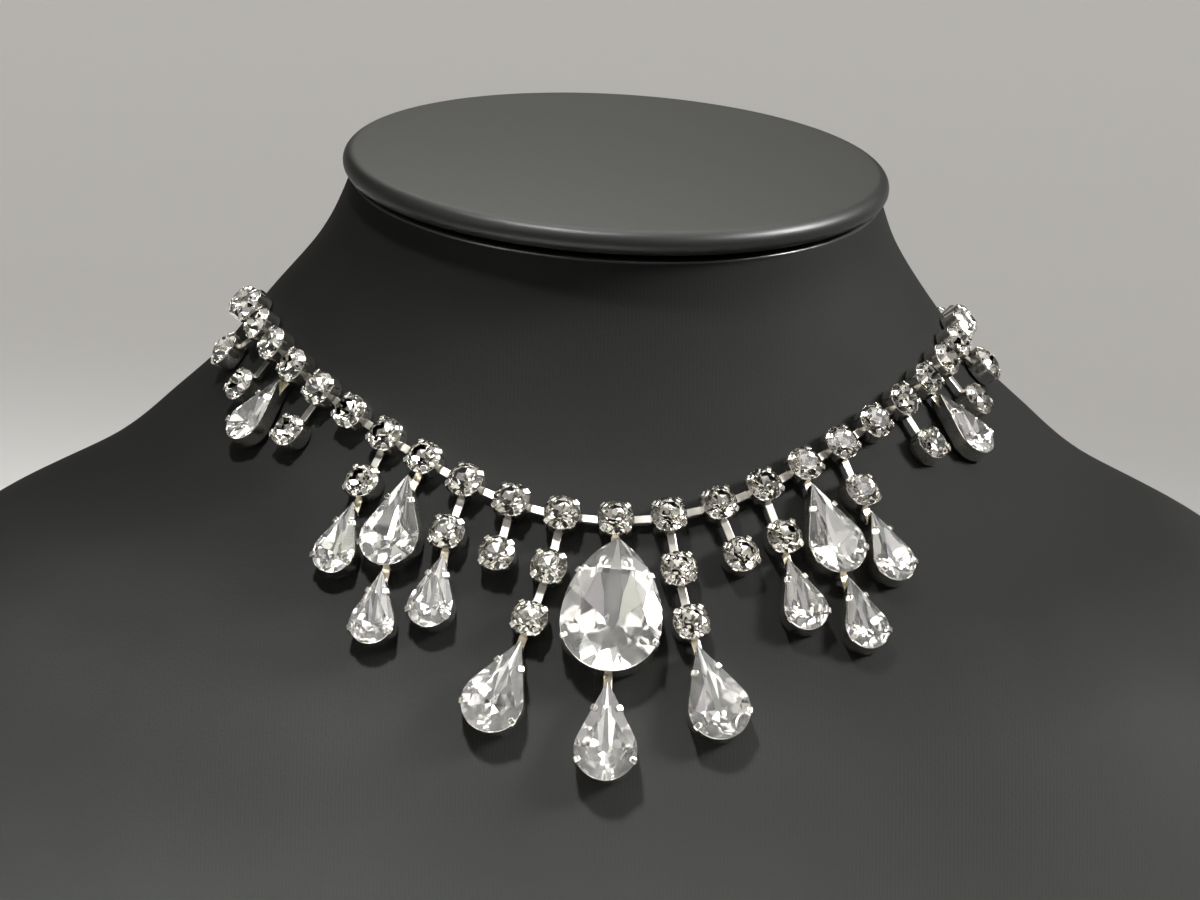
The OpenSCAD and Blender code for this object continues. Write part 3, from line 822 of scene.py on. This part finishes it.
def minus(solid, cutters):
    """The solid without what the cutters cover."""
    made = []
    for name, source in (("solid", solid), ("cutters", cutters)):
        bmesh.ops.recalc_face_normals(source, faces=source.faces)
        mesh = bpy.data.meshes.new(name)
        source.to_mesh(mesh)
        source.free()
        made.append(link_object(name, mesh))
    modifier = made[0].modifiers.new("slots", "BOOLEAN")
    modifier.operation = "DIFFERENCE"
    modifier.solver = "EXACT"
    modifier.object = made[1]
    cut = bmesh.new()
    cut.from_object(made[0], bpy.context.evaluated_depsgraph_get())
    for piece in made:
        mesh = piece.data
        bpy.data.objects.remove(piece)
        bpy.data.meshes.remove(mesh)
    return cut


def inside(kind, point):
    """Whether a point in a setting's frame is inside its walls."""
    if not 0 < point.z < kind.girdle_h:
        return False
    if point.y <= 0 or kind.side == ROUND_SIDE:
        return math.hypot(point.x, point.y) < kind.width / 2
    centre, radius = side_arc(kind)
    return math.hypot(abs(point.x) - centre.x, point.y - centre.y) < radius


def setting(bm, kind, place):
    """A setting with its claws, and slots where links pass through its wall."""
    back = place.inverted()
    passing = []
    for link, length in LINKS:
        if any(inside(kind, back @ end) for end in link_ends(link, length)):
            passing.append((link, length))
    solid = bmesh.new()
    skin_over(solid, [[(p.x, p.y, h) for p in outline(kind, w)] for w, h in wall_profile(kind)])
    cutters = bmesh.new()
    for link, length in passing:
        box(cutters, back @ link, (-length / 2, -LINK_W / 2 - SLOT_GAP, -SLOT_GAP),
            (length / 2, LINK_W / 2 + SLOT_GAP, LINK_T + SLOT_GAP))
    cut = minus(solid, cutters) if passing else solid
    cut.verts.index_update()
    add_copy(bm, cut, place)
    cut.free()
    for stand in claw_places(kind):
        claw(bm, place @ stand, kind)


def flat_link(bm, place, length):
    """A flat link with its ends bent up."""
    r, middle = LINK_BEND_R, LINK_T / 2
    end = length / 2 - LINK_T / 2
    turns = [math.pi / 2 * i / LINK_BEND_STEPS for i in range(LINK_BEND_STEPS + 1)]
    bend = [(end - r + r * math.sin(a), middle + r - r * math.cos(a)) for a in turns]
    right = [(0.0, middle)] + bend + [(end, TAB_H)]
    path = [(-x, z) for x, z in reversed(right[1:])] + right
    count = len(path)
    strip(bm, place, path, [LINK_W] * count, [LINK_T] * count)


def link_ends(link, length):
    """The two ends of a link, where it passes through the settings."""
    return [link @ Vector((x, 0, LINK_T / 2)) for x in (-length / 2, length / 2)]


def holds_pear(link, length):
    """Whether a link ends in the setting of a pear."""
    return any(inside(kind, place.inverted() @ end) for kind, place in ALL_STONES
               for end in link_ends(link, length) if kind.side < ROUND_SIDE)


def cup_places(parts):
    """The kinds and frames of the settings among a node's parts, each with its claws turned."""
    cups = []
    for points, _ in parts:
        if len(points) == LINK_VERTS:
            continue
        centre = sum(points, Vector()) / len(points)
        kind, place = min(ALL_STONES, key=lambda entry: (entry[1].translation - centre).length)
        if kind.side == ROUND_SIDE:
            place = place @ Matrix.Rotation(claw_turn(points, place), 4, "Z")
        cups.append((kind, place))
    return cups


def link_places(parts):
    """The frames and lengths of the links among a node's parts."""
    return [link_place(points, up) for points, up in parts if len(points) == LINK_VERTS]


def dress_metal(node, cups, links):
    """The settings and links of a node."""
    bm = bmesh.new()
    for kind, place in cups:
        setting(bm, kind, place)
    for place, length in links:
        made = len(bm.faces)
        flat_link(bm, place, length)
        bm.faces.ensure_lookup_table()
        for face in bm.faces[made:]:
            face.material_index = 2 if holds_pear(place, length) else 1
    piece = mesh_piece("dressed_" + node, bm, [METAL, LINK_METAL, WARM_METAL], METAL_CREASE)
    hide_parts(node)


# Camera
TARGET = Vector((0.29, NECK_Y - 80, 145.0)) * MM
CAMERA_ELEVATION = math.radians(18)
CAMERA_ROLL = math.radians(1.05)
CAMERA_DISTANCE = 0.8
CAMERA_LENS = 127.2


def make_camera():
    """The camera, looking down at the front of the bust and rolled a little."""
    view = Vector((0, math.cos(CAMERA_ELEVATION), -math.sin(CAMERA_ELEVATION)))
    level_up = Vector((1, 0, 0)).cross(view)
    right = math.cos(CAMERA_ROLL) * Vector((1, 0, 0)) + math.sin(CAMERA_ROLL) * level_up
    up = right.cross(view)
    data = bpy.data.cameras.new("camera")
    data.lens = CAMERA_LENS
    data.sensor_width = 36
    data.clip_start = 0.01
    camera = link_object("camera", data)
    camera.matrix_world = Matrix.Translation(TARGET - CAMERA_DISTANCE * view) @ Matrix(
        (right, up, -view)).transposed().to_4x4()
    bpy.context.scene.camera = camera


# Studio
def area_light(name, place, aim, size, power, cone):
    """A round soft light that fades towards the edge of its cone."""
    data = bpy.data.lights.new(name, "AREA")
    data.shape = "DISK"
    data.size = size
    data.energy = power
    data.spread = math.radians(cone)
    light = link_object(name, data)
    light.location = place
    light.rotation_euler = (Vector(aim) - Vector(place)).to_track_quat("-Z", "Y").to_euler()


FLOOR_SIZE = 8
# Each light's name, place, aim, size, power and cone in degrees
LIGHTS = (
    ("key", (-0.20, -0.18, 1.25), (-0.09, -0.18, 0.01), 0.12, 2.35, 22),
    ("overhead", (0.4, 0.1, 1.4), (0, 0, 0.1), 1.0, 0.2, 180),
    ("left", (-0.96, -0.79, 0.56), (-0.24, -0.16, 0.0), 0.4, 0.25, 23),
    ("front", (-0.3, -1.5, 0.5), (0, 0, 0.1), 1.2, 0.5, 180),
    ("right", (1.11, -0.12, 0.93), (0.07, 0.0, 0.17), 0.48, 2.6, 21),
)


def make_studio():
    """The floor and the lights."""
    bpy.ops.mesh.primitive_plane_add(size=FLOOR_SIZE, location=(0, 0, 0))
    floor = bpy.context.object
    floor.name = "floor"
    pale = new_material("pale_floor", Base_Color=(0.5, 0.5, 0.49, 1), Roughness=0.85)
    floor.data.materials.append(pale)
    for entry in LIGHTS:
        area_light(*entry)


# What the room is like where it is seen directly, by matt surfaces and by bright ones
ROOM_SEEN = 0.5
ROOM_FILL = 0.06
ROOM_PATCHES = ((0.0, 0.0), (0.38, 0.55), (0.52, 1.8), (0.78, 5.0))
PATCH_SCALE = 2.4
PATCH_TINT = 0.12
ROOM_HUE = (0.98, 1, 0.95, 1)
# Where the panels pass from one strength to another: start, end, and the factors there
HEIGHT_FADE = (0.43, 0.72, 0.08, 1.0)
LEFT_LIFT = (-0.75, -0.35, 1.7, 1.0)


def panels(room, cells):
    """The panels' strengths, one drawn for each cell."""
    draw = add_node(room, "ShaderNodeSeparateColor")
    join(room, cells.outputs["Color"], draw.inputs["Color"])
    ramp = add_node(room, "ShaderNodeValToRGB")
    ramp.color_ramp.interpolation = "CONSTANT"
    while len(ramp.color_ramp.elements) < len(ROOM_PATCHES):
        ramp.color_ramp.elements.new(1.0)
    brightest = ROOM_PATCHES[-1][1]
    for element, (start, value) in zip(ramp.color_ramp.elements, ROOM_PATCHES):
        element.position = start
        element.color = (value / brightest, value / brightest, value / brightest, 1)
    join(room, draw.outputs["Red"], ramp.inputs["Fac"])
    return math_node(room, "MULTIPLY", ramp.outputs["Color"], brightest)


def tinted(room, cells):
    """The room's colour, a little different in each cell."""
    colour = add_node(room, "ShaderNodeMix")
    colour.data_type = "RGBA"
    colour.inputs["Factor"].default_value = PATCH_TINT
    colour.inputs["A"].default_value = ROOM_HUE
    join(room, cells.outputs["Color"], colour.inputs["B"])
    return colour.outputs["Result"]


def faded(room, value, along, fade):
    """A value times a factor that passes from one level to another along an axis."""
    start, end, low, high = fade
    factor = add_node(room, "ShaderNodeMapRange", From_Min=start, From_Max=end, To_Min=low, To_Max=high)
    join(room, along, factor.inputs["Value"])
    return math_node(room, "MULTIPLY", value, factor.outputs["Result"])


def make_room():
    """A plain room for the eye and for matt surfaces; bright and dark panels for the reflections."""
    room = bpy.data.worlds.new("room")
    bpy.context.scene.world = room
    room.use_nodes = True
    background = room.node_tree.nodes["Background"]
    place = add_node(room, "ShaderNodeTexCoord").outputs["Generated"]
    cells = add_node(room, "ShaderNodeTexVoronoi", Scale=PATCH_SCALE)
    join(room, place, cells.inputs["Vector"])
    join(room, tinted(room, cells), background.inputs["Color"])
    axes = add_node(room, "ShaderNodeSeparateXYZ")
    join(room, place, axes.inputs["Vector"])
    strength = faded(room, panels(room, cells), axes.outputs["Z"], HEIGHT_FADE)
    strength = faded(room, strength, axes.outputs["X"], LEFT_LIFT)
    path = add_node(room, "ShaderNodeLightPath")
    for ray, value in (("Is Diffuse Ray", ROOM_FILL), ("Is Camera Ray", ROOM_SEEN)):
        choice = add_node(room, "ShaderNodeMix")
        join(room, path.outputs[ray], choice.inputs["Factor"])
        join(room, strength, choice.inputs["A"])
        choice.inputs["B"].default_value = value
        strength = choice.outputs["Result"]
    join(room, strength, background.inputs["Strength"])


make_camera()
make_studio()
make_room()
make_body()
make_cap()

TEMPLATES = {kind.name: cut_stone(kind) for kind in KINDS}
ALL_STONES = []
for name in STONE_NODES:
    stones = [stone_place(*part) for part in node_parts(name)]
    dress_stones(name, stones)
    ALL_STONES += stones

METAL_PARTS = {name: node_parts(name) for name in METAL_NODES}
LINKS = [link for parts in METAL_PARTS.values() for link in link_places(parts)]
for name, parts in METAL_PARTS.items():
    dress_metal(name, cup_places(parts), link_places(parts))

for slot in NODES["clasp"].material_slots:
    slot.material = METAL

bpy.context.scene.view_settings.view_transform = "Standard"
